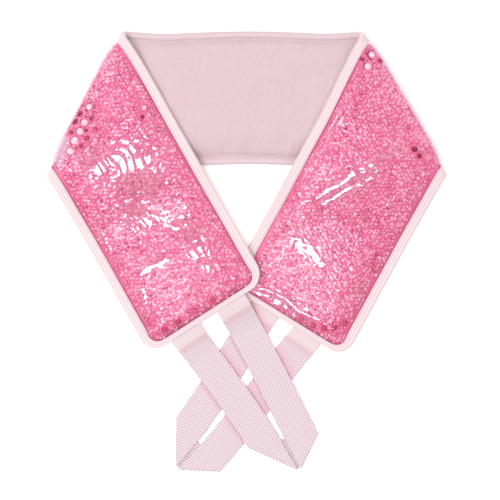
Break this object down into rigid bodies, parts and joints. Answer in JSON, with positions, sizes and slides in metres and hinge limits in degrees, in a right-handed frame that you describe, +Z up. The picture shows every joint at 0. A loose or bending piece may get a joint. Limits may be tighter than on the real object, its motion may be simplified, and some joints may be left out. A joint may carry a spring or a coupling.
{
  "type": "hot and cold neck wrap",
  "caption": "Gel bead neck wrap lying flat, both ends folded forward over the plush middle, with crossed webbing loops.",
  "frame": {"origin": "on the resting surface under the middle of the whole wrap", "axes": "+X to the wrap's right as seen in use order from above, +Y from the loops towards the plush middle, +Z up"},
  "size_m": [0.302, 0.3346, 0.021],
  "materials": {
    "plush": "matte",
    "film": "gloss",
    "gel": "gloss",
    "binding": "matte",
    "webbing": "matte"
  },
  "bodies": {
    "root": {"backing_fabric": "plush", "clear_film": "film", "gel_bead_fill": "gel", "edge_binding": "binding", "strap_loop_left": "webbing", "strap_loop_right": "webbing"}
  },
  "joints": []
}
